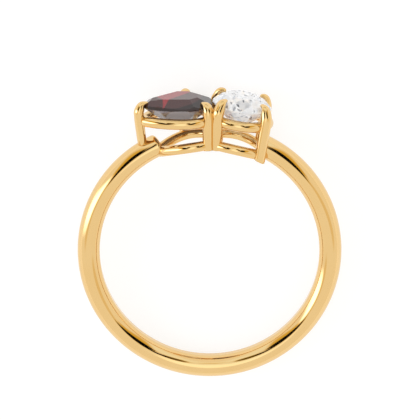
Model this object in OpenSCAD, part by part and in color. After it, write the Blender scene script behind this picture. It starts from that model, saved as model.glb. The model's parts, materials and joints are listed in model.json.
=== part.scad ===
// Toi et moi ring: a round wire shank that carries a pear stone and a round stone side by side,
// each in an open claw basket with two gallery rails.
// Ring frame: x to the right, y from the finger hole to the stones, z along the finger.
// The finished ring lies on its side, tipped a little because the baskets are wider than the shank.

/* [Shank] */
// Inside diameter of the finger hole
finger_d = 17.3; // [15:0.1:20]
// Thickness of the shank wire, measured outwards from the finger
shank_t = 1.75; // [1.4:0.05:2.2]
// Width of the shank wire along the finger
shank_w = 2.1; // [1.8:0.05:2.6]
// Radius of the shank wire's two side curves
shank_side_r = 0.76; // [0.6:0.02:0.84]
// Depth of the flat land polished on the inside of the wire
land_depth = 0.05; // [0.03:0.01:0.1]
// Angle from the ring's top at which each shoulder ends
shoulder_deg = 30; // [26:1:34]

/* [Round stone] */
// Girdle diameter of the round stone
round_d = 4.66; // [4.2:0.02:5]
// Distance of its girdle centre to the right of the ring's middle
round_x = 2.55; // [2.5:0.05:2.9]
// Height of its girdle centre above the finger hole's wall
round_lift = 3.22; // [3.1:0.02:3.6]
// Lean of the round stone and its basket to the right
round_lean = 9; // [5:0.5:13]
// Directions of its four claws, counted from the right, with -90 at the viewer
round_claws = [-132, -43, 43, 136];
// Distances of these claws' feet outside the girdle
round_claw_feet = [-0.1, 0.38, 0.38, -0.1];

/* [Pear stone] */
// Width of the pear stone
pear_w = 4.6; // [4.2:0.05:4.8]
// Length of the pear stone from its tip to its round end
pear_l = 5.7; // [5.5:0.05:6]
// Distance of its round end's centre to the left of the ring's middle
pear_x = 2.05; // [2:0.05:2.4]
// Height of its girdle above the finger hole's wall
pear_lift = 3.4; // [3.3:0.02:3.6]
// Turn of its tip from straight left towards the viewer
pear_turn = 22; // [10:1:32]
// Angle from the tip's axis at which the round end becomes the flank
pear_full = 70; // [66:1:75]
// Angle from the round end's axis to the claw on each side
pear_claw_deg = 64.5; // [55:0.5:75]
// Distances of the back and the front claw's foot outside the girdle
pear_claw_feet = [0.12, 0.34];

/* [Cuts] */
// Height of the girdle band on both stones
girdle_t = 0.12; // [0.1:0.01:0.16]
// Table size of the round stone as a share of its diameter
round_table = 0.56; // [0.52:0.01:0.62]
// Slope of the round stone's crown mains
crown_deg = 35.5; // [33:0.5:37]
// Slope of the round stone's pavilion mains
pavilion_deg = 40.8; // [39:0.2:42]
// Height of the pear stone's table above its girdle
pear_crown = 0.52; // [0.46:0.02:0.6]
// Slope of the pear stone's pavilion mains
pear_pavilion_deg = 42; // [38:1:44]

/* [Claws and rails] */
// Width of a claw along the girdle
claw_w = 0.96; // [0.8:0.02:1.04]
// Thickness of a claw outwards from the stone
claw_t = 0.9; // [0.76:0.02:0.96]
// Size of the pear tip's claw against the others
tip_claw_share = 0.88; // [0.8:0.02:1]
// Distance of the claw at the tip outside the stone's girdle
tip_claw_out = 0.36; // [0.32:0.02:0.42]
// Distance of that claw's foot outside the girdle
tip_claw_foot_out = -0.34; // [-0.5:0.02:-0.2]
// Lean of that claw's foot away from the viewer, onto the shank's end
tip_claw_back = 1; // [0.8:0.05:1.2]
// Distance of a claw's middle outside the girdle
claw_out = 0.38; // [0.34:0.02:0.44]
// Height of the round stone's claw tips above its girdle
round_claw_up = 0.5; // [0.46:0.02:0.56]
// Height of the pear stone's claw tips above its girdle
pear_claw_up = 0.26; // [0.22:0.02:0.34]
// Depth below the girdle from which a claw bends over the stone
claw_bend = 0.66; // [0.5:0.02:0.8]
// Reach of a claw's tip over the crown
claw_reach = 0.42; // [0.3:0.02:0.5]
// Thickness of the gallery rails' wire
rail_d = 0.84; // [0.7:0.01:0.92]
// Drop of the upper rails below the girdle
rail_drop = 1.16; // [1.08:0.01:1.25]
// Radius of the round stone's lower rail
round_base_r = 2.25; // [2.1:0.05:2.35]
// Radius of the pear stone's lower rail at its round end
pear_base_r = 2.05; // [1.95:0.05:2.15]
// Length that the pear stone's lower rail reaches to the left of its round end
pear_base_reach = 2.7; // [2.5:0.05:2.9]
// Clearance between each stone and the metal that holds it
seat_gap = 0.04; // [0.03:0.01:0.06]
// Clearance of the baskets' undersides from the finger
base_relief = 0.05; // [0.03:0.01:0.08]

/* [Hidden] */
$fn = 96;

gold = "#e0b76f";
claw_sides = 10;
rail_sides = 10;
rail_steps = 32;
far = 12;

finger_r = finger_d / 2;
base_r = finger_r + base_relief;
girdle_h = girdle_t / 2;

// Shank wire section: two side arcs joined by two flatter arcs
wire_h = (shank_t + land_depth) / 2;
side_x = shank_w / 2 - shank_side_r;
face_r = (side_x ^ 2 + wire_h ^ 2 - shank_side_r ^ 2) / (2 * (wire_h - shank_side_r));
face_drop = face_r - wire_h;
face_lean = atan2(side_x, face_drop);
shank_r = finger_r - land_depth + wire_h;

// Places of the two stones in the ring frame
round_r = round_d / 2;
round_at = [round_x, finger_r + round_lift];
pear_at = [-pear_x, finger_r + pear_lift];

function turned(p, deg) = [p[0] * cos(deg) - p[1] * sin(deg), p[0] * sin(deg) + p[1] * cos(deg)];
function heading(deg) = [cos(deg), sin(deg)];

// Pear outlines, with the round end's centre at the origin and the tip on the x axis. The flanks are arcs
// that start from the round end at the angle full and meet in the tip. flank_shift gives the distance of
// a flank's centre, tip_x the place of the tip and tip_n half the fan of normals at the tip.
function flank_shift(r, tip, full) = (tip ^ 2 - r ^ 2) / (2 * (r - tip * cos(full)));
function tip_x(r, k, full) = sqrt((k + r) ^ 2 - (k * sin(full)) ^ 2) - k * cos(full);
function tip_n(r, k, full) = atan2(k * sin(full), tip_x(r, k, full) + k * cos(full));

// Point of such an outline with the outward normal n from the tip's axis, moved outwards by grow
function pear_line(n, r, k, full, grow = 0) =
    grow * heading(n) + (
        abs(n) < tip_n(r, k, full) ? [tip_x(r, k, full), 0]
        : abs(n) < full ? (k + r) * heading(n) - k * heading(full * sign(n))
        : r * heading(n));

pear_r = pear_w / 2;
pear_k = flank_shift(pear_r, pear_l - pear_r, pear_full);
tip_az = 180 + pear_turn;
function pear_point(n) = pear_line(n, pear_r, pear_k, pear_full);

// Distance from the round end's centre to the girdle's tangent with the normal n
function pear_reach(n) = pear_point(n) * heading(n);

// Basket frame (x right, y away from the viewer, z out of the finger) to ring frame
function in_ring(p, at, lean) = [
    at[0] + p[0] * cos(lean) + p[2] * sin(lean),
    at[1] - p[0] * sin(lean) + p[2] * cos(lean),
    -p[1]
];

// Smooth curve through points: n steps between each two of them
function curve_point(a, b, c, d, t) =
    0.5 * (2 * b + (c - a) * t + (2 * a - 5 * b + 4 * c - d) * t ^ 2 + (3 * b - a - 3 * c + d) * t ^ 3);
function curve(p, n) = let (last = len(p) - 1) [
    for (i = [0:last - 1], k = [0:n - 1])
        curve_point(p[max(i - 1, 0)], p[i], p[i + 1], p[min(i + 2, last)], k / n),
    p[last]
];

// Claw stations: distance outside the girdle, height, share of the width, share of the thickness
function claw_stations(out, up, foot_out, foot_z) = [
    [foot_out, foot_z, 1, 0.9],
    [(foot_out + out) / 2, foot_z * 0.62, 1, 0.94],
    [out, -claw_bend, 0.98, 1],
    [out * 0.8, -claw_bend * 0.2, 0.94, 0.96],
    [out * 0.36, up * 0.7, 0.8, 0.68],
    [-claw_reach * 0.5, up * 1.08, 0.5, 0.42],
    [-claw_reach, up, 0.18, 0.18]
];

// Rings of points along a claw that stands at the girdle point p, facing the direction az. Below its bend
// it leans sideways, by foot_side at the foot.
function claw_rings(p, az, out, up, foot_out, foot_z, share = 1, foot_side = 0) =
    let (s = curve(claw_stations(out, up, foot_out, foot_z), 2), last = len(s) - 1)
    [for (i = [0:last])
        let (a = s[max(i - 1, 0)], b = s[min(i + 1, last)], lean = atan2(b[1] - a[1], b[0] - a[0]) - 90)
        [for (k = [0:claw_sides - 1])
            let (slide = foot_side * max(0, (-claw_bend - s[i][1]) / (-claw_bend - foot_z)),
                 w = share * claw_w / 2 * s[i][2] * sin(k * 360 / claw_sides) + slide,
                 t = share * claw_t / 2 * s[i][3] * cos(k * 360 / claw_sides),
                 away = s[i][0] + t * cos(lean), rise = s[i][1] + t * sin(lean))
            [p[0] + away * cos(az) + w * sin(az), p[1] + away * sin(az) - w * cos(az), rise]]];

// Closed skin over rings of points, capped at both ends or joined into a loop
module skin(rings, loop = false) {
    n = len(rings[0]);
    m = len(rings);
    points = [for (r = rings) each r];
    sides = [for (i = [0:(loop ? m - 1 : m - 2)], k = [0:n - 1])
        let (a = i * n, b = ((i + 1) % m) * n, q = (k + 1) % n)
        each [[a + k, a + q, b + k], [a + q, b + q, b + k]]];
    caps = loop ? [] : [[for (k = [n - 1:-1:0]) k], [for (k = [0:n - 1]) (m - 1) * n + k]];
    polyhedron(points, concat(sides, caps));
}

// Claws as rings of points in the ring frame. The pear tip's claw stands on the left shoulder.
round_claw_foot = -round_lift - 0.72;
pear_claw_foot = -pear_lift - 0.1;
tip_claw_foot = -pear_lift - 0.05;
function round_claw(az, foot_out) = [
    for (ring = claw_rings(round_r * heading(az), az, claw_out, round_claw_up, foot_out, round_claw_foot))
        [for (p = ring) in_ring(p, round_at, round_lean)]];
function pear_claw(n, out, foot_out, foot_z, share, foot_side) = [
    for (ring = claw_rings(turned(pear_point(n), tip_az), tip_az + n, out, pear_claw_up, foot_out, foot_z,
        share, foot_side))
        [for (p = ring) in_ring(p, pear_at, 0)]];
claws = concat(
    [for (i = [0:3]) round_claw(round_claws[i], round_claw_feet[i])],
    [for (i = [0:1])
        pear_claw((2 * i - 1) * (180 - pear_claw_deg), claw_out, pear_claw_feet[i], pear_claw_foot, 1, 0)],
    [pear_claw(0, tip_claw_out, tip_claw_foot_out, tip_claw_foot, tip_claw_share, tip_claw_back)]
);

// Everything outside a sloped cut: faces the direction az, reach is the cut's distance at the height z0
module crown_cut(az, slope, reach, z0 = girdle_h) {
    rotate([0, 0, az]) rotate([0, slope, 0])
        translate([-far / 2, -far / 2, reach * sin(slope) + z0 * cos(slope)]) cube(far);
}
module pavilion_cut(az, slope, reach) {
    mirror([0, 0, 1]) crown_cut(az, slope, reach);
}

// Round brilliant with its girdle's middle at height 0. Rings of corners from the table down: the table,
// the stars' tips, the girdle's two edges, the pavilion breaks' tips and the culet. The girdle's corners
// between the mains lie on the breaks' planes, which makes the girdle wavy.
cuts = 8;
half_cut = 180 / cuts;
crown_h = (round_r - round_table * round_r) * tan(crown_deg);
star_r = (round_table * round_r * cos(half_cut) + round_r) / 2;
star_h = (round_r - star_r * cos(half_cut)) * tan(crown_deg);
break_r = 0.22 * round_r;
break_h = (round_r - break_r * cos(half_cut)) * tan(pavilion_deg);
wave = round_r * (1 / cos(half_cut / 2) - 1);
crown_dip = wave * star_h / (round_r - star_r);
pavilion_dip = wave * break_h / (round_r - break_r);
function corners(r, z, n, start = 0) = [for (i = [0:n - 1])
    [r * cos(start + i * 360 / n), r * sin(start + i * 360 / n), z]];
function girdle(side, dip) = [for (i = [0:4 * cuts - 1])
    [round_r * cos(i * half_cut / 2), round_r * sin(i * half_cut / 2), side * (girdle_h - i % 2 * dip)]];
round_points = concat(
    corners(round_table * round_r, girdle_h + crown_h, cuts),
    corners(star_r, girdle_h + star_h, cuts, half_cut),
    girdle(1, crown_dip),
    girdle(-1, pavilion_dip),
    corners(break_r, -girdle_h - break_h, cuts, half_cut),
    [[0, 0, -girdle_h - round_r * tan(pavilion_deg)]]
);
star_at = cuts;
top_at = 2 * cuts;
under_at = 6 * cuts;
break_at = 10 * cuts;
culet_at = 11 * cuts;
function next(i, n = 1) = (i + n) % (4 * cuts);
round_faces = concat(
    [[for (i = [cuts - 1:-1:0]) i]],
    [for (i = [0:cuts - 1]) let (q = (i + 1) % cuts, p = (i + cuts - 1) % cuts) each [
        [i, q, star_at + i],
        [i, star_at + i, top_at + 4 * i, star_at + p],
        [star_at + i, top_at + next(4 * i, 2), top_at + next(4 * i, 1), top_at + 4 * i],
        [star_at + i, top_at + next(4 * i, 4), top_at + next(4 * i, 3), top_at + next(4 * i, 2)],
        [break_at + i, under_at + 4 * i, under_at + next(4 * i, 1), under_at + next(4 * i, 2)],
        [break_at + i, under_at + next(4 * i, 2), under_at + next(4 * i, 3), under_at + next(4 * i, 4)],
        [culet_at, break_at + p, under_at + 4 * i, break_at + i]
    ]],
    [for (i = [0:4 * cuts - 1]) [top_at + i, top_at + next(i), under_at + next(i), under_at + i]]
);
module round_stone() {
    polyhedron(round_points, round_faces);
}

// Pear cut along the axis of its tip: mains on the flanks and round end, two cuts that meet in the tip's
// ridge, a small star on the table's tip, and narrow cuts between the mains along the girdle.
// A main has the normal's angle from the tip's axis and the table edge's inset as a share of the half width.
pear_mains = [[68, 0.48], [112, 0.48], [157, 0.52]];
pear_between = [90, 134, 180];
pear_between_deg = 45;
pear_ridge_n = 30;
pear_ridge_deg = 37;
pear_star_inset = 0.5;
pear_star_deg = 14;
pear_ridge_less = 2;
pear_between_more = 4;
module pear_stone() {
    difference() {
        translate([0, 0, -far / 2]) linear_extrude(far / 2 + girdle_h + pear_crown)
            polygon([for (n = [-179:3:180]) pear_point(n)]);
        for (side = [-1, 1], m = pear_mains) {
            crown_cut(side * m[0], atan(pear_crown / (m[1] * pear_r)), pear_reach(m[0]));
            pavilion_cut(side * m[0], pear_pavilion_deg, pear_reach(m[0]));
        }
        for (side = [-1, 1], n = pear_between) {
            crown_cut(side * n, pear_between_deg, pear_reach(n));
            pavilion_cut(side * n, pear_pavilion_deg + pear_between_more, pear_reach(n));
        }
        for (side = [-1, 1]) {
            crown_cut(side * pear_ridge_n, pear_ridge_deg, pear_reach(pear_ridge_n));
            pavilion_cut(side * pear_ridge_n, pear_pavilion_deg - pear_ridge_less, pear_reach(pear_ridge_n));
        }
        crown_cut(0, pear_star_deg, pear_l - pear_r - pear_star_inset * pear_r, girdle_h + pear_crown);
    }
}

module at_round() {
    translate([round_at[0], round_at[1], 0]) rotate([0, 0, -round_lean]) rotate([-90, 0, 0]) children();
}
module at_pear() {
    translate([pear_at[0], pear_at[1], 0]) rotate([-90, 0, 0]) rotate([0, 0, tip_az]) children();
}

// Shank wire section around its own middle, x outwards and y along the finger
module wire_section() {
    for (side = [-1, 1]) translate([0, side * side_x]) circle(shank_side_r);
    intersection() {
        for_faces();
        square([2 * wire_h, 2 * face_r * sin(face_lean)], center = true);
    }
}
module for_faces() {
    intersection() {
        translate([face_drop, 0]) circle(face_r, $fn = 128);
        translate([-face_drop, 0]) circle(face_r, $fn = 128);
    }
}

module shank() {
    difference() {
        rotate([0, 0, 90 + shoulder_deg]) rotate_extrude(angle = 360 - 2 * shoulder_deg)
            translate([shank_r, 0]) wire_section();
        translate([0, 0, -far]) cylinder(r = finger_r, h = 2 * far, $fn = 180);
    }
}

// Round noses on the shank's two ends: the wire's outline, which shrinks along a quarter ellipse. A nose
// starts inside the wire, a hair smaller than it.
nose_l = shank_w / 2;
nose_share = 0.99;
nose_root = 0.4;
function arc_points(at, r, from, to, n) = [for (i = [0:n - 1])
    at + r * heading(from + (to - from) * i / n)];
wire_outline = concat(
    arc_points([-face_drop, 0], face_r, -face_lean, face_lean, 4),
    arc_points([0, side_x], shank_side_r, face_lean, 180 - face_lean, 8),
    arc_points([face_drop, 0], face_r, 180 - face_lean, 180 + face_lean, 4),
    arc_points([0, -side_x], shank_side_r, 180 + face_lean, 360 - face_lean, 8)
);
nose_stations = concat([[-nose_root, 1]], [for (a = [0:16:80]) [nose_l * sin(a), cos(a)]]);
function nose(side) = [for (s = nose_stations)
    let (out = turned([0, 1], side * shoulder_deg), along = turned([1, 0], side * shoulder_deg))
    [for (p = wire_outline) let (o = out * (shank_r + nose_share * s[1] * p[0]) + along * side * s[0])
        [o[0], o[1], -side * nose_share * s[1] * p[1]]]];

// Gallery rails: rings of points around a closed line
function rail_skin(line) = let (m = len(line)) [for (i = [0:m - 1])
    let (a = line[(i + m - 1) % m], b = line[(i + 1) % m], along = (b - a) / norm(b - a),
         flat = cross(along, [0, 0, 1]), side = flat / norm(flat), top = cross(side, along))
    [for (k = [0:rail_sides - 1]) line[i]
        + rail_d / 2 * (cos(k * 360 / rail_sides) * side + sin(k * 360 / rail_sides) * top)]];
function ringed(rings, at, lean) = [for (r = rings) [for (p = r) in_ring(p, at, lean)]];

// Upper rails run under the girdles, flat in their baskets, with the pear's tip rounded
tip_round = 0.6;
function steps(n) = [for (i = [0:n - 1]) i * 360 / n];
function signed(a) = a > 180 ? a - 360 : a;
round_upper = ringed(rail_skin([for (a = steps(rail_steps))
    [(round_r - 0.06) * cos(a), (round_r - 0.06) * sin(a), -rail_drop]]), round_at, round_lean);
pear_upper = ringed(rail_skin([for (a = steps(rail_steps))
    let (p = turned(pear_line(signed(a), pear_r - tip_round, pear_k, pear_full, tip_round), tip_az))
    [p[0], p[1], -rail_drop]]), pear_at, 0);

// Lower rails lie on the finger's curve, which takes a little off their undersides
rail_lift = 0.38;
base_line_r = base_r + rail_d * rail_lift;
function on_finger(x, y) = [x, sqrt(base_line_r ^ 2 - x ^ 2), y];
function base_skin(line) = let (m = len(line)) [for (i = [0:m - 1])
    let (a = line[(i + m - 1) % m], b = line[(i + 1) % m], along = (b - a) / norm(b - a),
         up = [line[i][0], line[i][1], 0] / base_line_r, flat = cross(along, up), side = flat / norm(flat))
    [for (k = [0:rail_sides - 1]) line[i]
        + rail_d / 2 * (cos(k * 360 / rail_sides) * side + sin(k * 360 / rail_sides) * up)]];
round_base_x = round_at[0] - (round_at[1] - base_line_r) * tan(round_lean);
round_lower = base_skin([for (a = steps(rail_steps))
    on_finger(round_base_x + round_base_r * cos(a), round_base_r * sin(a))]);
pear_base_x = -1.4;
pear_base_full = 62;
pear_base_k = flank_shift(pear_base_r, pear_base_reach, pear_base_full);
pear_lower = base_skin([for (a = steps(rail_steps))
    let (p = pear_line(signed(a), pear_base_r - tip_round, pear_base_k, pear_base_full, tip_round))
    on_finger(pear_base_x - p[0], -p[1])]);

// How the ring lies on its side. It stands on one point of a claw and on the shank's lower side across
// from it, in line with its weight. head_low gives the lowest point in the direction n, lie_deg the tip
// over that point.
weight_at = [0, 0.25 * finger_r];
head_points = [for (rings = concat(claws, [round_upper, pear_upper, round_lower, pear_lower]), ring = rings)
    each ring];
function head_low(n) = let (low = max([for (p = head_points) p * n]))
    [for (p = head_points) if (p * n > low - 0.000001) p][0];
function across(p) = let (d = weight_at - [p[0], p[1]]) d / norm(d);
function lie_deg(p) =
    let (span = shank_r - [p[0], p[1]] * across(p), drop = -p[2] - side_x)
    acos(shank_side_r / norm([span, drop])) - atan2(span, drop);
function down(p) = let (q = across(p), t = lie_deg(p)) [q[0] * sin(t), q[1] * sin(t), -cos(t)];
stands_on = head_low(down(head_low([0, 0, -1])));
lie_across = across(stands_on);
module at_rest() {
    rotate(a = lie_deg(stands_on), v = [-lie_across[1], lie_across[0], 0]) children();
}

module baskets() {
    difference() {
        union() {
            for (c = concat(claws, [nose(-1), nose(1)])) skin(c);
            for (r = [round_upper, pear_upper, round_lower, pear_lower]) skin(r, loop = true);
        }
        translate([0, 0, -far]) cylinder(r = base_r, h = 2 * far, $fn = 180);
        at_round() scale(1 + seat_gap / round_r) round_stone();
        at_pear() scale(1 + seat_gap / pear_r) pear_stone();
    }
}

module hoop_and_settings() {
    color(gold) at_rest() { shank(); baskets(); }
}
module pear_garnet() {
    color("#5a1f26") at_rest() at_pear() pear_stone();
}
module round_diamond() {
    color("#e8edf2") at_rest() at_round() round_stone();
}

hoop_and_settings();
pear_garnet();
round_diamond();
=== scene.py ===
"""Toi et moi ring: a gold wire shank with a pear-shaped garnet and a round diamond side by side.

The ring lies on its side on a pale floor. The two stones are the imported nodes, and the metal is
modelled here in smooth form over the same sizes. All sizes are in millimetres until a mesh is
placed, when they become metres.
"""

import json
import logging
import math
from dataclasses import dataclass, field
from enum import Enum
from typing import NamedTuple

import bpy
from mathutils import Matrix, Vector


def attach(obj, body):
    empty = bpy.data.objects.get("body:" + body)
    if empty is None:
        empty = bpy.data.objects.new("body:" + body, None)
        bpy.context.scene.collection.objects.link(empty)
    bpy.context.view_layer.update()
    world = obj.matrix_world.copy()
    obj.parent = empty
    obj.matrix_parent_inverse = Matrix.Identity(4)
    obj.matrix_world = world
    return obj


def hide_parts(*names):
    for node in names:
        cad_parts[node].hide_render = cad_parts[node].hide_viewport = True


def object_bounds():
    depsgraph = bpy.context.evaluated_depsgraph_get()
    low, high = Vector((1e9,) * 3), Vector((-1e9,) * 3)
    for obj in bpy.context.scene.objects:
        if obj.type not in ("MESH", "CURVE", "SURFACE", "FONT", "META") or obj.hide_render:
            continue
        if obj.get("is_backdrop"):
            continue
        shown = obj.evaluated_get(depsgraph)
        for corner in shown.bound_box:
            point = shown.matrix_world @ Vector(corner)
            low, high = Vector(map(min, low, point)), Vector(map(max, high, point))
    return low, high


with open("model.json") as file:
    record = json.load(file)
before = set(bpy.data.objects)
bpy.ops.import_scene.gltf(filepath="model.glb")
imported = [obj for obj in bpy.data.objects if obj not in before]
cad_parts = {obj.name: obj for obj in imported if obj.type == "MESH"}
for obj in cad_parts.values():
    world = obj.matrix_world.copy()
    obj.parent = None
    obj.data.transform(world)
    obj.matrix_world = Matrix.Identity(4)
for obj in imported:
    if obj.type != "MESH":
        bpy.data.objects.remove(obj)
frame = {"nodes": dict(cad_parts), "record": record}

log = logging.getLogger("ring")

Tree = bpy.types.NodeTree
Socket = bpy.types.NodeSocket
Flat = tuple[float, float]
Place = tuple[float, float, float]
Plane = tuple[Place, Place, Place]
Ring = list[Vector]

MM = 0.001
MERGE_M = 1e-8
IMAGE_PX = 420
METAL_NODE = "hoop_and_settings"
STONES_DEG = 90

# The colour sockets of a Mix node share their names with its sockets for numbers.
MIX_FIRST, MIX_SECOND, MIX_RESULT = 6, 7, 2


class Slot(Enum):
    """Material slots of the record."""

    GOLD = "gold"
    GARNET = "garnet"
    DIAMOND = "diamond"


class Ends(Enum):
    """What becomes of the two ends of a tube."""

    JOINED = "joined"
    CAPPED = "capped"


class Axis(Enum):
    """Parts of a direction on the dome: to either side, towards the stones, and up."""

    ASIDE = 0
    STONES = 1
    UP = 2


class Sides(Enum):
    """Sides of the dome that an oval lies on."""

    BOTH = "both"
    ONE = "one"


# Colours and nodes


def linear(hex_colour: str) -> tuple[float, float, float, float]:
    """Turns an sRGB hex colour into linear light.

    Args:
        hex_colour: six hex digits, such as "f0d5a2".

    Returns:
        Red, green, blue and an alpha of 1.
    """
    parts = [int(hex_colour[i : i + 2], 16) / 255 for i in (0, 2, 4)]
    light = [c / 12.92 if c <= 0.04045 else ((c + 0.055) / 1.055) ** 2.4 for c in parts]
    return (light[0], light[1], light[2], 1.0)


def add_node(
    tree: Tree, kind: str, inputs: dict[str | int, object] | None = None, **settings: object
) -> bpy.types.Node:
    """Adds one node with its settings and links.

    Args:
        tree: the node tree.
        kind: the node's type name.
        inputs: socket name or number to a value, or to an output socket that is linked to it.
        settings: properties of the node itself.

    Returns:
        The new node.
    """
    node = tree.nodes.new(kind)
    for name, value in settings.items():
        setattr(node, name, value)
    for key, value in (inputs or {}).items():
        if isinstance(value, Socket):
            tree.links.new(value, node.inputs[key])
        else:
            node.inputs[key].default_value = value
    return node


def new_tree(name: str) -> tuple[bpy.types.Material, Tree]:
    """Makes an empty node material.

    Args:
        name: the material's name.

    Returns:
        The material and its cleared node tree.
    """
    material = bpy.data.materials.new(name)
    material.use_nodes = True
    material.node_tree.nodes.clear()
    return material, material.node_tree


def object_mm(tree: Tree) -> Socket:
    """Gives object coordinates in millimetres, so that a pattern's scale is one over its size.

    Args:
        tree: the node tree.

    Returns:
        The coordinates.
    """
    place = add_node(tree, "ShaderNodeTexCoord")
    inputs = {0: place.outputs["Object"], 1: (1 / MM,) * 3}
    return add_node(tree, "ShaderNodeVectorMath", inputs, operation="MULTIPLY").outputs[0]


def coats(tree: Tree, base: str | Socket, *layers: tuple[Socket, str]) -> Socket:
    """Lays colours over one another in order.

    Args:
        tree: the node tree.
        base: the lowest colour, as a hex colour or a socket.
        layers: for each further colour, the share of it that shows and the hex colour.

    Returns:
        The colour that shows in the end.
    """
    seen = linear(base) if isinstance(base, str) else base
    for share, colour in layers:
        inputs = {"Factor": share, MIX_FIRST: seen, MIX_SECOND: linear(colour)}
        seen = add_node(tree, "ShaderNodeMix", inputs, data_type="RGBA").outputs[MIX_RESULT]
    return seen


@dataclass(frozen=True)
class PolishedGold:
    """14 carat yellow gold, cast, filed and buffed to a mirror."""

    # It is pale honey where it mirrors white and orange where it mirrors itself. The buffed
    # surface waves a little, so no long reflection is quite straight. Real buffing marks are
    # finer than these, which are as coarse as they need to be to change the gloss in the render.
    colour: str = "ecca90"
    deep_colour: str = "e9c486"
    roughness: float = 0.06
    roughness_swing: float = 0.05
    wave_mm: float = 2.2
    wave_detail: float = 2.0
    wave_depth_mm: float = 0.006
    wave_strength: float = 0.5
    mark_mm: float = 0.12
    mark_detail: float = 3.0

    def material(self) -> bpy.types.Material:
        """Builds the material.

        Returns:
            Polished gold with buffing waves and a faint change of gloss.
        """
        material, tree = new_tree("polished_yellow_gold")
        place = object_mm(tree)
        waves = add_node(
            tree,
            "ShaderNodeTexNoise",
            {"Vector": place, "Scale": 1 / self.wave_mm, "Detail": self.wave_detail},
        )
        marks = add_node(
            tree,
            "ShaderNodeTexNoise",
            {"Vector": place, "Scale": 1 / self.mark_mm, "Detail": self.mark_detail},
        )
        gloss = add_node(
            tree,
            "ShaderNodeMapRange",
            {
                "Value": marks.outputs[0],
                "To Min": self.roughness,
                "To Max": self.roughness + self.roughness_swing,
            },
        )
        bump = add_node(
            tree,
            "ShaderNodeBump",
            {
                "Height": waves.outputs[0],
                "Strength": self.wave_strength,
                "Distance": self.wave_depth_mm * MM,
            },
        )
        surface = add_node(
            tree,
            "ShaderNodeBsdfPrincipled",
            {
                "Base Color": coats(tree, self.colour, (waves.outputs[0], self.deep_colour)),
                "Metallic": 1.0,
                "Roughness": gloss.outputs[0],
                "Normal": bump.outputs[0],
            },
        )
        add_node(tree, "ShaderNodeOutputMaterial", {"Surface": surface.outputs[0]})
        return material


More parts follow.
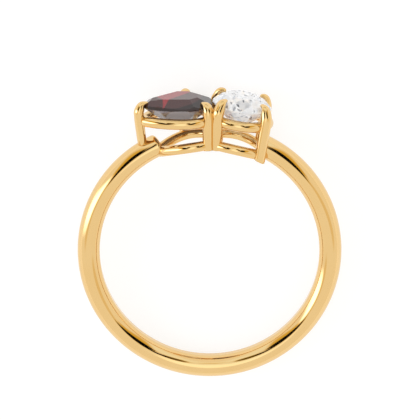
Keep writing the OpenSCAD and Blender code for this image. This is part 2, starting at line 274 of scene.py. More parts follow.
@dataclass(frozen=True)
class FacetedGarnet:
    """Almandine garnet, cut in flat facets and polished.

    The painted red flash inside it, a painted reflection, is a wedge between two planes, and the
    painted shade on its crown lies beyond a third one. A plane goes through three corners in the
    ring's own frame, and a point tells which side of it is meant.
    """

    # It is brown-red glass, so dark that it shows the room in its facets more than its own
    # colour. Painted on it are a red flash in the crown, which is painted reflection, painted shade
    # on part of the crown and on the girdle band, and a painted grey reflection on the underside.
    turn: Matrix
    colour: str = "4e2a2c"
    # Painted shade on part of the crown.
    painted_shade_colour: str = "241415"
    # Painted red flash: a painted reflection of light inside the stone.
    painted_flash_colour: str = "a8323c"
    # Painted grey reflection on the underside.
    painted_underside_reflection_colour: str = "988e92"
    # Painted shade on the girdle band.
    painted_girdle_shade_colour: str = "240508"
    roughness: float = 0.01
    ior: float = 1.78
    gloss: float = 0.3
    transmission: float = 0.2
    girdle_y: float = 12.05
    girdle_t: float = 0.26
    edge_mm: float = 0.08
    # A point and two planes that bound the painted red flash.
    painted_flash_point: Place = (-3.5, 12.5, 1.3)
    painted_flash_right: Plane = ((-3.04, 12.63, 1.0), (-3.63, 12.16, 2.22), (-1.7, 12.63, -0.71))
    painted_flash_left: Plane = ((-3.78, 12.63, 1.0), (-3.63, 12.16, 2.22), (-4.14, 12.63, 0.4))
    # A point and a plane that bound the painted shade on the crown.
    painted_shade_point: Place = (-1.0, 12.2, 2.0)
    painted_shade_plane: Plane = ((-2.6, 12.16, 2.3), (-0.7, 12.55, 1.4), (-1.0, 12.4, 0.0))

    def step(self, tree: Tree, place: Socket, normal: Vector, level: float) -> Socket:
        """Gives a soft step from 0 to 1 across a plane.

        Args:
            tree: the node tree.
            place: object coordinates in millimetres.
            normal: the plane's normal in the ring's own frame.
            level: the plane's distance along it.

        Returns:
            1 on the side that the normal points to.
        """
        inputs = {0: place, 1: tuple(self.turn @ normal)}
        along = add_node(tree, "ShaderNodeVectorMath", inputs, operation="DOT_PRODUCT")
        soft = add_node(
            tree,
            "ShaderNodeMapRange",
            {
                "Value": along.outputs["Value"],
                "From Min": level - self.edge_mm / 2,
                "From Max": level + self.edge_mm / 2,
            },
            interpolation_type="SMOOTHSTEP",
        )
        return soft.outputs[0]

    def side(self, tree: Tree, place: Socket, corners: Plane, inside: Place) -> Socket:
        """Gives 1 on one side of a plane through three corners.

        Args:
            tree: the node tree.
            place: object coordinates in millimetres.
            corners: three points of the plane.
            inside: a point on the side that is meant.

        Returns:
            The soft step across the plane.
        """
        a, b, c = (Vector(corner) for corner in corners)
        normal = (b - a).cross(c - a).normalized()
        if normal.dot(Vector(inside) - a) < 0:
            normal.negate()
        return self.step(tree, place, normal, normal.dot(a))

    def material(self) -> bpy.types.Material:
        """Builds the material.

        Returns:
            Dark red glass with a painted red flash and painted shade in the crown, a painted grey
            reflection on the pavilion and painted shade on the girdle band.
        """
        material, tree = new_tree("almandine_garnet")
        place = object_mm(tree)
        out = Vector((0, 1, 0))
        # Painted shade on part of the crown, beyond one plane.
        painted_shade = self.side(tree, place, self.painted_shade_plane, self.painted_shade_point)
        # Painted red flash, a wedge between two planes.
        right, left = (
            self.side(tree, place, plane, self.painted_flash_point)
            for plane in (self.painted_flash_right, self.painted_flash_left)
        )
        painted_flash = add_node(tree, "ShaderNodeMath", {0: right, 1: left}, operation="MULTIPLY")
        # Below the crown the girdle band gets painted shade.
        crown = self.step(tree, place, out, self.girdle_y + self.girdle_t / 2)
        below = add_node(tree, "ShaderNodeMath", {0: 1.0, 1: crown}, operation="SUBTRACT")
        # The pavilion gets a painted grey reflection.
        pavilion = self.step(tree, place, -out, self.girdle_t / 2 - self.girdle_y)
        tone = coats(
            tree,
            self.colour,
            (painted_shade, self.painted_shade_colour),
            (painted_flash.outputs[0], self.painted_flash_colour),
            (below.outputs[0], self.painted_girdle_shade_colour),
            (pavilion, self.painted_underside_reflection_colour),
        )
        surface = add_node(
            tree,
            "ShaderNodeBsdfPrincipled",
            {
                "Base Color": tone,
                "Roughness": self.roughness,
                "IOR": self.ior,
                "Specular IOR Level": self.gloss,
                "Transmission Weight": self.transmission,
            },
        )
        add_node(tree, "ShaderNodeOutputMaterial", {"Surface": surface.outputs[0]})
        return material


@dataclass(frozen=True)
class BrilliantDiamond:
    """Diamond, cut as a brilliant and polished.

    Cells of less than half a millimetre differ a little in their white: painted reflections that
    stand in for the many small mirrors inside the stone. Two sets of long thin cells that lie
    crosswise hold the dark splinters, which are painted dark reflections.
    """

    # It is colourless and nearly white in soft light. Here half of it is clear glass and half a
    # painted white with a painted glow, which stand in for the light it throws back, and the small
    # grey and blue splinters in it are painted reflections that make it sparkle.
    # Painted white: the stone's diffuse half stands in for the light it throws back.
    colour: str = "fdfdff"
    # Painted reflections: some cells are a greyer white.
    painted_shade_colour: str = "cfd4de"
    # Painted dark reflections: the splinters.
    painted_splinter_colours: tuple[str, str] = ("3f444c", "6c7480")
    # Painted blue reflections in a few cells.
    painted_blue_reflection_colour: str = "bcc8e4"
    roughness: float = 0.0
    ior: float = 2.42
    transmission: float = 0.5
    # Painted glow: the stone gives off a little light of its own, though it is no lamp.
    glow: float = 0.1
    cell_mm: float = 0.4
    painted_shade_power: float = 3.0
    painted_blue_share: float = 0.06
    # Sizes and turns of the cells that hold the painted dark reflections.
    painted_splinter_mm: Place = (0.5, 0.15, 0.24)
    painted_splinter_turns: tuple[Place, Place] = ((0.0, 0.0, -0.9), (0.3, 0.0, 1.1))
    painted_splinter_share: float = 0.06

    def painted_splinters(self, tree: Tree, place: Socket, turn: Place) -> Socket:
        """Picks a few out of one set of long thin cells, for painted dark reflections.

        Args:
            tree: the node tree.
            place: object coordinates in millimetres.
            turn: the turn of the cells, in radians.

        Returns:
            1 in the cells that get a painted dark reflection.
        """
        inputs = {"Vector": place, "Rotation": turn, "Scale": self.painted_splinter_mm}
        laid = add_node(tree, "ShaderNodeMapping", inputs, vector_type="TEXTURE")
        cells = add_node(tree, "ShaderNodeTexVoronoi", {"Vector": laid.outputs[0], "Scale": 1.0})
        pick = add_node(tree, "ShaderNodeSeparateColor", {0: cells.outputs["Color"]})
        inputs = {0: pick.outputs[0], 1: self.painted_splinter_share}
        return add_node(tree, "ShaderNodeMath", inputs, operation="LESS_THAN").outputs[0]

    def material(self) -> bpy.types.Material:
        """Builds the material.

        Returns:
            Clear glass of high refraction, mixed with a painted white, painted reflections and a
            painted glow that stand in for the light of its many small mirrors.
        """
        material, tree = new_tree("brilliant_diamond")
        place = object_mm(tree)
        inputs = {"Vector": place, "Scale": 1 / self.cell_mm}
        cells = add_node(tree, "ShaderNodeTexVoronoi", inputs)
        pick = add_node(tree, "ShaderNodeSeparateColor", {0: cells.outputs["Color"]})
        # Painted reflections: cells of a greyer white.
        inputs = {0: pick.outputs[0], 1: self.painted_shade_power}
        painted_shade = add_node(tree, "ShaderNodeMath", inputs, operation="POWER")
        # Painted blue reflections in a few cells.
        inputs = {0: pick.outputs[1], 1: self.painted_blue_share}
        painted_blue = add_node(tree, "ShaderNodeMath", inputs, operation="LESS_THAN")
        tone = coats(
            tree,
            self.colour,
            (painted_shade.outputs[0], self.painted_shade_colour),
            (painted_blue.outputs[0], self.painted_blue_reflection_colour),
            # Painted dark reflections in the splinter cells.
            *(
                (self.painted_splinters(tree, place, turn), colour)
                for turn, colour in zip(self.painted_splinter_turns, self.painted_splinter_colours)
            ),
        )
        surface = add_node(
            tree,
            "ShaderNodeBsdfPrincipled",
            {
                "Base Color": tone,
                "Roughness": self.roughness,
                "IOR": self.ior,
                "Transmission Weight": self.transmission,
                # Painted glow in the stone's white.
                "Emission Color": linear(self.colour),
                "Emission Strength": self.glow,
            },
        )
        add_node(tree, "ShaderNodeOutputMaterial", {"Surface": surface.outputs[0]})
        return material


@dataclass(frozen=True)
class BacklitAcrylic:
    """White acrylic sheet, cast, sanded matt and lit from below."""

    # It glows evenly, so that the shadows on it stay faint, and its mottle only just shows.
    colour: str = "8f8f90"
    mottle_colour: str = "8b8b8d"
    glow_colour: str = "ffffff"
    glow: float = 0.79
    roughness: float = 0.7
    mottle_mm: float = 20.0

    def material(self) -> bpy.types.Material:
        """Builds the material.

        Returns:
            Matt white that glows, with a very faint mottle.
        """
        material, tree = new_tree("backlit_white_acrylic")
        inputs = {"Vector": object_mm(tree), "Scale": 1 / self.mottle_mm}
        cloud = add_node(tree, "ShaderNodeTexNoise", inputs)
        surface = add_node(
            tree,
            "ShaderNodeBsdfPrincipled",
            {
                "Base Color": coats(tree, self.colour, (cloud.outputs[0], self.mottle_colour)),
                "Roughness": self.roughness,
                "Emission Color": linear(self.glow_colour),
                "Emission Strength": self.glow,
            },
        )
        add_node(tree, "ShaderNodeOutputMaterial", {"Surface": surface.outputs[0]})
        return material


# Shapes


def turned(x: float, y: float, degrees: float) -> Flat:
    """Turns a flat point about the origin.

    Args:
        x: first coordinate.
        y: second coordinate.
        degrees: angle, anticlockwise.

    Returns:
        The turned point.
    """
    c, s = math.cos(math.radians(degrees)), math.sin(math.radians(degrees))
    return (x * c - y * s, x * s + y * c)


def rest_turn() -> Matrix:
    """Gives the turn from the ring's own frame to the way it lies, by the record's finger axis."""
    axis = Vector(frame["record"]["mounts"][0]["axis"]).normalized()
    return Vector((0, 0, 1)).rotation_difference(axis).to_matrix()


def off_finger(point: Vector, radius: float) -> Vector:
    """Moves a point that lies inside the finger out to the finger's surface.

    Args:
        point: a point in the ring's own frame.
        radius: the finger's radius with its clearance.

    Returns:
        The point, or the nearest one on the finger.
    """
    away = math.hypot(point.x, point.y)
    share = max(1.0, radius / away)
    return Vector((point.x * share, point.y * share, point.z))


def sweep(name: str, rings: list[Ring], turn: Matrix, ends: Ends) -> bpy.types.Object:
    """Skins rings of points with a grid that is rolled into a tube.

    Args:
        name: the piece's name.
        rings: rings of as many points each, in the ring's own frame, in millimetres.
        turn: the turn to the way the ring lies.
        ends: whether the last ring is joined to the first or a face closes each end.

    Returns:
        The smooth mesh object, at the origin.
    """
    around, along = len(rings[0]), len(rings)
    rows = along + 1 if ends is Ends.JOINED else along
    bpy.ops.object.select_all(action="DESELECT")
    bpy.ops.mesh.primitive_grid_add(x_subdivisions=around, y_subdivisions=rows - 1, size=MM)
    piece = bpy.context.object
    piece.name = piece.data.name = name
    for i, corner in enumerate(piece.data.vertices):
        row, column = divmod(i, around + 1)
        corner.co = turn @ rings[row % along][column % around] * MM
    bpy.ops.object.mode_set(mode="EDIT")
    bpy.ops.mesh.select_all(action="SELECT")
    bpy.ops.mesh.remove_doubles(threshold=MERGE_M)
    if ends is Ends.CAPPED:
        bpy.ops.mesh.select_all(action="DESELECT")
        bpy.ops.mesh.select_non_manifold()
        bpy.ops.mesh.edge_face_add()
    bpy.ops.mesh.select_all(action="SELECT")
    bpy.ops.mesh.normals_make_consistent(inside=False)
    bpy.ops.object.mode_set(mode="OBJECT")
    bpy.ops.object.shade_smooth()
    return piece


def catmull(points: list[tuple[float, ...]], steps: int) -> list[tuple[float, ...]]:
    """Draws a smooth line through points.

    Args:
        points: the points, of any number of coordinates.
        steps: pieces between each two points.

    Returns:
        The line's points, the given ones among them.
    """
    last = len(points) - 1
    line = []
    for i in range(last):
        corners = [points[min(max(i + k, 0), last)] for k in (-1, 0, 1, 2)]
        for t in (k / steps for k in range(steps)):
            line.append(
                tuple(
                    0.5
                    * (
                        2 * b
                        + (c - a) * t
                        + (2 * a - 5 * b + 4 * c - d) * t**2
                        + (3 * b - a - 3 * c + d) * t**3
                    )
                    for a, b, c, d in zip(*corners)
                )
            )
    return line + [tuple(points[last])]


@dataclass
class StudioFloor:
    """The board under the ring."""

    finish: BacklitAcrylic = BacklitAcrylic()
    size_mm: float = 1200.0

    def build(self) -> bpy.types.Object:
        """Lays the board under the lowest point of the ring.

        Returns:
            The floor object.
        """
        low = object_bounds()[0]
        bpy.ops.mesh.primitive_plane_add(size=self.size_mm * MM, location=(0, 0, low.z))
        floor = bpy.context.object
        floor.name = "floor"
        bpy.ops.object.transform_apply(location=True)
        floor.data.materials.append(self.finish.material())
        floor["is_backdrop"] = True
        return floor


@dataclass
class Finger:
    """The finger hole that all else is built round."""

    hole_d: float = 17.3
    base_relief: float = 0.05

    @property
    def radius(self) -> float:
        """Radius of the hole's wall."""
        return self.hole_d / 2

    @property
    def clear_radius(self) -> float:
        """Radius that the baskets' undersides keep to."""
        return self.radius + self.base_relief


@dataclass
class Shank:
    """The round wire shank with its two rounded ends."""

    finger: Finger
    turn: Matrix
    gold: bpy.types.Material
    thickness: float = 1.75
    width: float = 2.1
    side_r: float = 0.76
    land: float = 0.05
    shoulder_deg: float = 26.5
    nose_share: float = 0.2
    nose_power: float = 0.8
    nose_step_deg: int = 5
    slant_deg: float = 1.4
    slant_run_deg: float = 12.0
    around: int = 64
    along: int = 220

    @property
    def middle(self) -> float:
        """Radius of the wire's middle."""
        return self.finger.radius - self.land + (self.thickness + self.land) / 2

    def outline(self) -> list[Flat]:
        """Gives the wire's section: two side arcs, two flatter arcs and the flat land inside.

        Returns:
            Points outwards from the wire's middle and along the finger.
        """
        high = (self.thickness + self.land) / 2
        side = self.width / 2 - self.side_r
        face = (side**2 + high**2 - self.side_r**2) / (2 * (high - self.side_r))
        drop = face - high
        lean = math.atan2(side, drop)
        floor_x = self.finger.radius - self.middle
        points = []
        for i in range(self.around):
            a = 2 * math.pi * i / self.around
            folded = math.atan2(abs(math.sin(a)), abs(math.cos(a)))
            if folded < lean:
                x, y = -drop + face * math.cos(folded), face * math.sin(folded)
            else:
                x, y = self.side_r * math.cos(folded), side + self.side_r * math.sin(folded)
            x, y = math.copysign(x, math.cos(a)), math.copysign(y, math.sin(a))
            points.append((max(x, floor_x) if x < 0 else x, y))
        return points

    def stations(self, start: float, stop: float) -> list[Flat]:
        """Gives the places of the sections along the wire, which shrink over its two ends.

        Args:
            start: angle of the first full section, in degrees.
            stop: angle of the last full section, in degrees.

        Returns:
            The angle and the share of the full section, from one end to the other.
        """
        nose = math.degrees(self.nose_share * self.width / self.middle)
        power = self.nose_power
        turns = [math.radians(a) for a in range(self.nose_step_deg, 90, self.nose_step_deg)]
        cap = [(nose * math.sin(a) ** power, math.cos(a) ** power) for a in turns]
        body = [(start + (stop - start) * i / self.along, 1.0) for i in range(self.along + 1)]
        before = [(start - far, share) for far, share in reversed(cap)]
        return before + body + [(stop + far, share) for far, share in cap]

    def build(self) -> bpy.types.Object:
        """Sweeps the section round the finger, with both ends cut at a slant and rounded.

        Returns:
            The shank.
        """
        start, stop = STONES_DEG + self.shoulder_deg, STONES_DEG + 360 - self.shoulder_deg
        section = self.outline()
        rings = []
        for degrees, share in self.stations(start, stop):
            near_start = min(max(1 - (degrees - start) / self.slant_run_deg, 0.0), 1.0)
            near_stop = min(max(1 - (stop - degrees) / self.slant_run_deg, 0.0), 1.0)
            slant = self.slant_deg * (near_stop - near_start) / (self.width / 2)
            ring = []
            for x, y in section:
                at = math.radians(degrees + slant * share * y)
                out = self.middle + share * x
                ring.append(Vector((out * math.cos(at), out * math.sin(at), share * y)))
            rings.append(ring)
        piece = sweep("wire_shank", rings, self.turn, Ends.CAPPED)
        piece.data.materials.append(self.gold)
        return piece


@dataclass
class PearOutline:
    """A pear outline: a round end, two flank arcs and a tip on the x axis."""

    radius: float
    tip: float
    full_deg: float
    rounding: float = 0.0

    def point(self, normal_deg: float) -> Flat:
        """Gives the outline's point with an outward normal.

        Args:
            normal_deg: angle of the normal from the tip's axis, from -180 to 180.

        Returns:
            The point from the round end's centre.
        """
        full = math.radians(self.full_deg)
        shift = (self.tip**2 - self.radius**2) / (2 * (self.radius - self.tip * math.cos(full)))
        r = self.radius - self.rounding
        far = math.sqrt((shift + r) ** 2 - (shift * math.sin(full)) ** 2) - shift * math.cos(full)
        fan = math.degrees(math.atan2(shift * math.sin(full), far + shift * math.cos(full)))
        n = math.radians(normal_deg)
        if abs(normal_deg) < fan:
            x, y = far, 0.0
        elif abs(normal_deg) < self.full_deg:
            x = (shift + r) * math.cos(n) - shift * math.cos(full)
            y = (shift + r) * math.sin(n) - shift * math.sin(math.copysign(full, n))
        else:
            x, y = r * math.cos(n), r * math.sin(n)
        return (x + self.rounding * math.cos(n), y + self.rounding * math.sin(n))


@dataclass
class Seat:
    """Place of a stone: where its girdle lies in the ring's own frame."""

    x: float
    y: float
    lean_deg: float = 0.0

    def put(self, x: float, y: float, z: float) -> Vector:
        """Moves a point from the basket to the ring.

        Args:
            x: to the right.
            y: away from the viewer.
            z: out of the finger.

        Returns:
            The point in the ring's own frame.
        """
        c, s = math.cos(math.radians(self.lean_deg)), math.sin(math.radians(self.lean_deg))
        return Vector((self.x + x * c + z * s, self.y - x * s + z * c, -y))


class Station(NamedTuple):
    """One place on a claw's line, with its shares of the claw's full width and thickness."""

    out: float
    rise: float
    wide: float
    thick: float


@dataclass
class Claw:
    """One talon-shaped claw, from its foot up over the stone's edge."""

    name: str
    at: Flat
    facing_deg: float
    out: float
    up: float
    foot_out: float
    foot_z: float
    share: float = 1.0
    foot_side: float = 0.0
    width: float = 0.96
    thickness: float = 0.9
    bend: float = 0.66
    reach: float = 0.42

    def stations(self) -> list[Station]:
        """Gives the claw's line, outwards from the girdle and up from it.

        Returns:
            The foot, halfway up, the bend, past the bend, beside the girdle, over it and the tip.
        """
        return [
            Station(self.foot_out, self.foot_z, wide=1.0, thick=0.9),
            Station((self.foot_out + self.out) / 2, self.foot_z * 0.62, wide=1.0, thick=0.94),
            Station(self.out, -self.bend, wide=0.98, thick=1.0),
            Station(self.out * 0.8, -self.bend * 0.2, wide=0.94, thick=0.96),
            Station(self.out * 0.36, self.up * 0.72, wide=0.76, thick=0.64),
            Station(-self.reach * 0.5, self.up * 1.08, wide=0.42, thick=0.38),
            Station(-self.reach, self.up, wide=0.18, thick=0.18),
        ]

    def rings(self, seat: Seat, around: int, steps: int) -> list[Ring]:
        """Gives rings of points along the claw.

        Args:
            seat: the stone's place.
            around: points in a ring.
            steps: rings between two stations.

        Returns:
            The rings, from the foot to the tip.
        """
        line = catmull(self.stations(), steps)
        last = len(line) - 1
        c, s = math.cos(math.radians(self.facing_deg)), math.sin(math.radians(self.facing_deg))
        half_w, half_t = self.share * self.width / 2, self.share * self.thickness / 2
        made = []
        for i, (away, rise, wide, thick) in enumerate(line):
            a, b = line[max(i - 1, 0)], line[min(i + 1, last)]
            lean = math.atan2(b[1] - a[1], b[0] - a[0]) - math.pi / 2
            slide = self.foot_side * max(0.0, (-self.bend - rise) / (-self.bend - self.foot_z))
            ring = []
            for k in range(around):
                turn = 2 * math.pi * k / around
                w = half_w * wide * math.sin(turn) + slide
                t = half_t * thick * math.cos(turn)
                out, high = away + t * math.cos(lean), rise + t * math.sin(lean)
                x, y = self.at[0] + out * c + w * s, self.at[1] + out * s - w * c
                ring.append(seat.put(x, y, high))
            made.append(ring)
        return made


@dataclass
class Rail:
    """One gallery rail: a closed wire along a line."""

    name: str
    line: list[Vector]
    upward: list[Vector]
    thickness: float

    def rings(self, around: int) -> list[Ring]:
        """Gives rings of points round the rail's line.

        Args:
            around: points in a ring.

        Returns:
            The rings along the line.
        """
        half, count = self.thickness / 2, len(self.line)
        turns = [2 * math.pi * k / around for k in range(around)]
        made = []
        for i, place in enumerate(self.line):
            along = (self.line[(i + 1) % count] - self.line[i - 1]).normalized()
            side = along.cross(self.upward[i]).normalized()
            top = side.cross(along)
            made.append([place + half * (math.cos(a) * side + math.sin(a) * top) for a in turns])
        return made


@dataclass
class Baskets:
    """The two open claw baskets with an upper and a lower rail each."""

    finger: Finger
    turn: Matrix
    gold: bpy.types.Material
    round_d: float = 4.66
    round_x: float = 2.55
    round_lift: float = 3.22
    round_lean: float = 9.0
    round_claws: tuple[float, ...] = (-132.0, -43.0, 43.0, 136.0)
    round_claw_feet: tuple[float, ...] = (-0.1, 0.38, 0.38, -0.1)
    round_claw_up: float = 0.5
    round_foot_drop: float = 0.72
    round_base_r: float = 2.25
    pear_w: float = 4.6
    pear_l: float = 5.7
    pear_x: float = 2.05
    pear_lift: float = 3.4
    pear_turn: float = 22.0
    pear_full: float = 70.0
    pear_claw_deg: float = 64.5
    pear_claw_feet: tuple[float, ...] = (0.12, 0.34)
    pear_claw_up: float = 0.26
    pear_foot_drop: float = 0.1
    pear_base_r: float = 2.05
    pear_base_reach: float = 2.7
    pear_base_x: float = -1.4
    pear_base_full: float = 62.0
    tip_share: float = 0.88
    tip_out: float = 0.36
    tip_foot_out: float = -0.34
    tip_foot_drop: float = 0.05
    tip_back: float = 1.0
    claw_out: float = 0.38
    rail_d: float = 0.84
    rail_lift: float = 0.38
    rail_drop: float = 1.16
    rail_inset: float = 0.06
    rail_tip_r: float = 0.6
    around: int = 32
    rail_steps: int = 120
    claw_steps: int = 6

    @property
    def rail_r(self) -> float:
        """Distance of the lower rails' lines from the finger's axis."""
        return self.finger.clear_radius + self.rail_d * self.rail_lift

    @property
    def tip_deg(self) -> float:
        """Angle that the pear's tip points to, seen from outside the finger."""
        return 180 + self.pear_turn

    def seats(self) -> tuple[Seat, Seat]:
        """Gives the places of the two stones.

        Returns:
            The seat of the round stone and the seat of the pear-shaped one.
        """
        r = self.finger.radius
        return (
            Seat(self.round_x, r + self.round_lift, self.round_lean),
            Seat(-self.pear_x, r + self.pear_lift),
        )

    def girdle(self, rounding: float = 0.0) -> PearOutline:
        """Gives the outline of the pear-shaped stone's girdle.

        Args:
            rounding: radius of its tip.

        Returns:
            The outline.
        """
        r = self.pear_w / 2
        return PearOutline(r, self.pear_l - r, self.pear_full, rounding)

    def round_stone_claws(self) -> list[Claw]:
        """Lists the claws of the round stone.

        Returns:
            The four claws.
        """
        made = []
        feet = zip(self.round_claws, self.round_claw_feet)
        for number, (facing, foot_out) in enumerate(feet, start=1):
            claw = Claw(
                name=f"round_claw_{number}",
                at=turned(self.round_d / 2, 0, facing),
                facing_deg=facing,
                out=self.claw_out,
                up=self.round_claw_up,
                foot_out=foot_out,
                foot_z=-self.round_lift - self.round_foot_drop,
            )
            made.append(claw)
        return made

    def pear_stone_claws(self) -> list[Claw]:
        """Lists the two claws at the pear's sides and the one at its tip.

        Returns:
            The two side claws and the tip claw.
        """
        outline = self.girdle()
        made = []
        feet = zip((-1, 1), self.pear_claw_feet)
        for number, (side, foot_out) in enumerate(feet, start=1):
            normal = side * (180 - self.pear_claw_deg)
            claw = Claw(
                name=f"pear_claw_{number}",
                at=turned(*outline.point(normal), self.tip_deg),
                facing_deg=self.tip_deg + normal,
                out=self.claw_out,
                up=self.pear_claw_up,
                foot_out=foot_out,
                foot_z=-self.pear_lift - self.pear_foot_drop,
            )
            made.append(claw)
        tip = Claw(
            name="pear_tip_claw",
            at=turned(*outline.point(0), self.tip_deg),
            facing_deg=self.tip_deg,
            out=self.tip_out,
            up=self.pear_claw_up,
            foot_out=self.tip_foot_out,
            foot_z=-self.pear_lift - self.tip_foot_drop,
            share=self.tip_share,
            foot_side=self.tip_back,
        )
        return made + [tip]

    def flat_rail(self, name: str, seat: Seat, points: list[Flat]) -> Rail:
        """Makes an upper rail, which lies flat under a girdle.

        Args:
            name: the rail's name.
            seat: the stone's place.
            points: the rail's line in its basket.

        Returns:
            The rail.
        """
        up = seat.put(0, 0, 1) - seat.put(0, 0, 0)
        line = [seat.put(x, y, -self.rail_drop) for x, y in points]
        return Rail(name, line, [up] * len(line), self.rail_d)

    def curved_rail(self, name: str, points: list[Flat]) -> Rail:
        """Makes a lower rail, which lies on the finger's curve.

        Args:
            name: the rail's name.
            points: the rail's line, seen from outside the finger.

        Returns:
            The rail.
        """
        line = [Vector((x, math.sqrt(self.rail_r**2 - x * x), z)) for x, z in points]
        upward = [Vector((p.x, p.y, 0)).normalized() for p in line]
        return Rail(name, line, upward, self.rail_d)

    def rails(self) -> list[Rail]:
        """Lists the four gallery rails.

        Returns:
            Two upper rails under the girdles and two lower rails on the finger's curve.
        """
        round_seat, pear_seat = self.seats()
        angles = [360 * i / self.rail_steps for i in range(self.rail_steps)]
        normals = [a - 360 if a > 180 else a for a in angles]
        ring_r = self.round_d / 2 - self.rail_inset
        pear = self.girdle(self.rail_tip_r)
        base = PearOutline(
            radius=self.pear_base_r,
            tip=self.pear_base_reach,
            full_deg=self.pear_base_full,
            rounding=self.rail_tip_r,
        )
        drop = self.finger.radius + self.round_lift - self.rail_r
        base_x = self.round_x - drop * math.tan(math.radians(self.round_lean))
        round_top = [turned(ring_r, 0, a) for a in angles]
        pear_top = [turned(*pear.point(a), self.tip_deg) for a in normals]
        round_base = [turned(self.round_base_r, 0, a) for a in angles]
        pear_base = [base.point(a) for a in normals]
        return [
            self.flat_rail("round_upper_rail", round_seat, round_top),
            self.flat_rail("pear_upper_rail", pear_seat, pear_top),
            self.curved_rail("round_lower_rail", [(base_x + x, z) for x, z in round_base]),
            self.curved_rail("pear_lower_rail", [(self.pear_base_x - x, -y) for x, y in pear_base]),
        ]

    def build(self) -> list[bpy.types.Object]:
        """Builds all claws and rails and cuts their undersides to the finger's curve.

        Returns:
            The pieces.
        """
        shapes = []
        claws = (self.round_stone_claws(), self.pear_stone_claws())
        for seat, held_by in zip(self.seats(), claws):
            for claw in held_by:
                rings = claw.rings(seat, self.around, self.claw_steps)
                shapes.append((claw.name, rings, Ends.CAPPED))
        shapes += [(rail.name, rail.rings(self.around), Ends.JOINED) for rail in self.rails()]
        pieces = []
        for name, rings, ends in shapes:
            cut = [[off_finger(point, self.finger.clear_radius) for point in r] for r in rings]
            piece = sweep(name, cut, self.turn, ends)
            piece.data.materials.append(self.gold)
            pieces.append(piece)
        return pieces


@dataclass
class Stones:
    """The two packed stones, which keep their meshes and get their finishes here."""

    turn: Matrix
    nodes: dict[Slot, str] = field(
        default_factory=lambda: {Slot.GARNET: "pear_garnet", Slot.DIAMOND: "round_diamond"}
    )

    def dress(self) -> None:
        """Gives each stone the material of its slot."""
        finishes = {Slot.GARNET: FacetedGarnet(self.turn), Slot.DIAMOND: BrilliantDiamond()}
        for slot, node in self.nodes.items():
            material = finishes[slot].material()
            stone = frame["nodes"][node]
            stone.data.materials.clear()
            stone.data.materials.append(material)
            log.info("%s dressed as %s", node, material.name)


# Camera and light


@dataclass
class View:
    """The camera, which looks down on the lying ring from the photograph's angle."""

    turn: Matrix
    elevation_deg: float = 16.45
    distance_radii: float = 100.0
    wire_r: float = 9.525
    focal_px: float = 120.9
    middle_px: Flat = (209.55, 249.5)
    sensor_mm: float = 36.0
    clip_m: Flat = (0.05, 10.0)

    def build(self) -> bpy.types.Object:
        """Places the camera.

        Returns:
            The camera object.
        """
        e = math.radians(self.elevation_deg)
        back = self.turn @ Vector((0, math.sin(e), math.cos(e)))
        up = self.turn @ Vector((0, math.cos(e), -math.sin(e)))
        right = up.cross(back)
        mm_per_px = self.wire_r / self.focal_px
        off_x = (IMAGE_PX / 2 - self.middle_px[0]) * mm_per_px
        off_y = (self.middle_px[1] - IMAGE_PX / 2) * mm_per_px
        data = bpy.data.cameras.new("photo_camera")
        data.sensor_width = self.sensor_mm
        data.lens = self.focal_px * self.distance_radii * self.sensor_mm / IMAGE_PX
        data.clip_start, data.clip_end = self.clip_m
        camera = bpy.data.objects.new("photo_camera", data)
        bpy.context.scene.collection.objects.link(camera)
        place = (back * (self.distance_radii * self.wire_r) + right * off_x + up * off_y) * MM
        facing = Matrix((right, up, back)).transposed().to_4x4()
        camera.matrix_world = Matrix.Translation(place) @ facing
        bpy.context.scene.camera = camera
        return camera


@dataclass(frozen=True)
class Oval:
    """One soft oval of the dome, in the direction's parts aside and towards the stones.

    It has its full level over a core, a share of its squared size, and fades to 0 at its edge. Its
    tilt leans it outwards with the distance towards the stones.
    """

    at: Flat
    half: Flat
    level: float = 1.0
    tilt: float = 0.0
    core: float = 0.3
    sides: Sides = Sides.BOTH

    def draw(self, tree: Tree, way: Socket) -> Socket:
        """Draws the oval on the dome.

        Args:
            tree: the dome's node tree.
            way: the direction.

        Returns:
            The oval's level in each direction.
        """
        rows = ((1 / self.half[0], -self.tilt / self.half[0], 0.0), (0.0, 1 / self.half[1], 0.0))
        spans = [
            add_node(tree, "ShaderNodeVectorMath", {0: way, 1: row}, operation="DOT_PRODUCT")
            for row in rows
        ]
        middle = [row[0] * self.at[0] + row[1] * self.at[1] for row in rows]
        inputs = {axis: span.outputs["Value"] for axis, span in enumerate(spans)}
        place = add_node(tree, "ShaderNodeCombineXYZ", inputs)
        inputs = {0: place.outputs[0], 1: (*middle, 0.0)}
        off = add_node(tree, "ShaderNodeVectorMath", inputs, operation="SUBTRACT").outputs[0]
        away = add_node(tree, "ShaderNodeVectorMath", {0: off, 1: off}, operation="DOT_PRODUCT")
        fade = add_node(
            tree,
            "ShaderNodeMapRange",
            {
                "Value": away.outputs["Value"],
                "From Min": 1.0,
                "From Max": self.core,
                "To Max": self.level,
            },
            interpolation_type="SMOOTHSTEP",
        )
        return fade.outputs[0]


@dataclass(frozen=True)
class Fade:
    """One soft step of the dome along one part of the direction, from 0 up to 1."""

    axis: Axis
    start: float
    full: float


@dataclass(frozen=True)
class Softbox:
    """One soft rectangular lamp that faces the ring."""

    name: str
    place: Place
    size: Flat
    watts: float

    def hang(self) -> None:
        """Hangs the lamp."""
        data = bpy.data.lights.new(self.name, "AREA")
        data.shape = "RECTANGLE"
        data.size, data.size_y = self.size[0] * MM, self.size[1] * MM
        data.energy = self.watts
        lamp = bpy.data.objects.new(self.name, data)
        bpy.context.scene.collection.objects.link(lamp)
        lamp.location = Vector(self.place) * MM
        lamp.rotation_euler = (-Vector(self.place)).to_track_quat("-Z", "Y").to_euler()


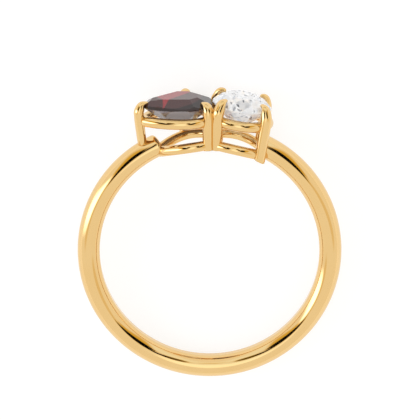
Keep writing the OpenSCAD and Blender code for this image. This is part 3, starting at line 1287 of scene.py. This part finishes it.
@dataclass
class Studio:
    """Soft white room: a bright dome with dark, orange-edged gaps that draw the gold's shape.

    The gaps are the same on the left and the right, and only the rim light is on the left alone.
    A dome darkness of 0 is the brightest white and 1 is black.
    """

    strength: float = 1.15
    rim_gain: float = 2.4
    rim_tone: str = "e3e9ff"
    bright_tone: str = "f4fcff"
    plain_tone: str = "f0eee9"
    warm_tone: str = "d9b955"
    black_tone: str = "000000"
    plain_dark: float = 0.25
    warm_dark: float = 0.6
    bright_fields: tuple[Oval, Oval] = (
        Oval((0.0, 0.15), (0.26, 0.5)),
        Oval((0.32, 0.72), (0.4, 0.16)),
    )
    # The wide gap, the one inside it, the one at the shoulders, their warm edge, the short one in
    # the middle and the flank below them.
    gaps: tuple[Oval, ...] = (
        Oval((0.49, 0.25), (0.18, 0.37), tilt=0.25, core=0.45),
        Oval((0.28, 0.44), (0.14, 0.26), level=0.92),
        Oval((0.36, 0.29), (0.13, 0.2), tilt=0.1, core=0.5),
        Oval((0.64, 0.41), (0.19, 0.37), level=warm_dark, tilt=0.1),
        Oval((0.0, 0.62), (0.16, 0.08), level=0.45),
        Oval((0.65, -0.12), (0.3, 0.3), level=0.42),
    )
    # A dark strip just over the floor, beyond the stones.
    strip: tuple[Fade, ...] = (
        Fade(Axis.UP, 0.01, 0.03),
        Fade(Axis.UP, 0.12, 0.09),
        Fade(Axis.ASIDE, 0.5, 0.35),
        Fade(Axis.STONES, 0.6, 0.8),
    )
    glint: Oval = Oval((0.4, 0.41), (0.03, 0.1), level=0.66)
    rim: Oval = Oval((-0.86, 0.06), (0.28, 0.28), core=0.0, sides=Sides.ONE)
    softbox: Softbox = Softbox("top_softbox", place=(10, 20, 700), size=(260, 420), watts=0.1)

    def darkness(self, tree: Tree, ways: dict[Sides, Socket], parts: list[Socket]) -> Socket:
        """Adds the dome's white fields, gaps and strip.

        Args:
            tree: the dome's node tree.
            ways: the direction, by the sides that it serves.
            parts: the direction's parts, in the order of Axis.

        Returns:
            The darkness in each direction, before the glint and the rim light lift it.
        """
        fields = [oval.draw(tree, ways[oval.sides]) for oval in self.bright_fields]
        bright = add_node(tree, "ShaderNodeMath", dict(enumerate(fields)), operation="MAXIMUM")
        inputs = {"Value": bright.outputs[0], "To Min": self.plain_dark, "To Max": 0.0}
        dark = add_node(tree, "ShaderNodeMapRange", inputs).outputs[0]
        strip: float | Socket = 1.0
        for fade in self.strip:
            step = add_node(
                tree,
                "ShaderNodeMapRange",
                {"Value": parts[fade.axis.value], "From Min": fade.start, "From Max": fade.full},
                interpolation_type="SMOOTHSTEP",
            )
            inputs = {0: strip, 1: step.outputs[0]}
            strip = add_node(tree, "ShaderNodeMath", inputs, operation="MULTIPLY").outputs[0]
        for part in [oval.draw(tree, ways[oval.sides]) for oval in self.gaps] + [strip]:
            inputs = {0: dark, 1: part}
            dark = add_node(tree, "ShaderNodeMath", inputs, operation="MAXIMUM").outputs[0]
        return dark

    def world(self) -> None:
        """Builds the dome from the direction alone."""
        world = bpy.data.worlds.new("soft_white_room")
        bpy.context.scene.world = world
        world.use_nodes = True
        tree = world.node_tree
        tree.nodes.clear()
        way = add_node(tree, "ShaderNodeTexCoord").outputs["Generated"]
        x, y, z = add_node(tree, "ShaderNodeSeparateXYZ", {0: way}).outputs
        aside = add_node(tree, "ShaderNodeMath", {0: x}, operation="ABSOLUTE").outputs[0]
        parts = [aside, y, z]
        folded = add_node(tree, "ShaderNodeCombineXYZ", dict(enumerate(parts))).outputs[0]
        ways = {Sides.BOTH: folded, Sides.ONE: way}
        dark = self.darkness(tree, ways, parts)
        glint, rim = (oval.draw(tree, ways[oval.sides]) for oval in (self.glint, self.rim))
        for lit in (glint, rim):
            left = add_node(tree, "ShaderNodeMath", {0: 1.0, 1: lit}, operation="SUBTRACT")
            inputs = {0: dark, 1: left.outputs[0]}
            dark = add_node(tree, "ShaderNodeMath", inputs, operation="MULTIPLY").outputs[0]
        ramp = add_node(tree, "ShaderNodeValToRGB", {"Fac": dark})
        stops = ramp.color_ramp.elements
        stops[0].color, stops[1].color = linear(self.bright_tone), linear(self.black_tone)
        stops.new(self.plain_dark).color = linear(self.plain_tone)
        stops.new(self.warm_dark).color = linear(self.warm_tone)
        inputs = {0: rim, 1: self.rim_gain, 2: self.strength}
        gain = add_node(tree, "ShaderNodeMath", inputs, operation="MULTIPLY_ADD")
        tone = coats(tree, ramp.outputs[0], (rim, self.rim_tone))
        inputs = {"Color": tone, "Strength": gain.outputs[0]}
        light = add_node(tree, "ShaderNodeBackground", inputs)
        add_node(tree, "ShaderNodeOutputWorld", {"Surface": light.outputs[0]})

    def build(self) -> None:
        """Builds the dome, hangs the lamp and sets the plain view of colours."""
        self.world()
        self.softbox.hang()
        bpy.context.scene.view_settings.view_transform = "Standard"


def main() -> None:
    """Builds the ring, its floor, light and camera in order."""
    logging.basicConfig(level=logging.INFO)
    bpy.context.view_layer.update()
    turn = rest_turn()
    View(turn).build()
    floor = StudioFloor().build()
    log.info("%s laid", floor.name)
    gold = PolishedGold().material()
    finger = Finger()
    pieces = [Shank(finger, turn, gold).build()] + Baskets(finger, turn, gold).build()
    for piece in pieces:
        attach(piece, "root")
        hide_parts(METAL_NODE)
        log.info("%s has %d faces", piece.name, len(piece.data.polygons))
    Stones(turn).dress()
    Studio().build()


if __name__ == "__main__":
    main()
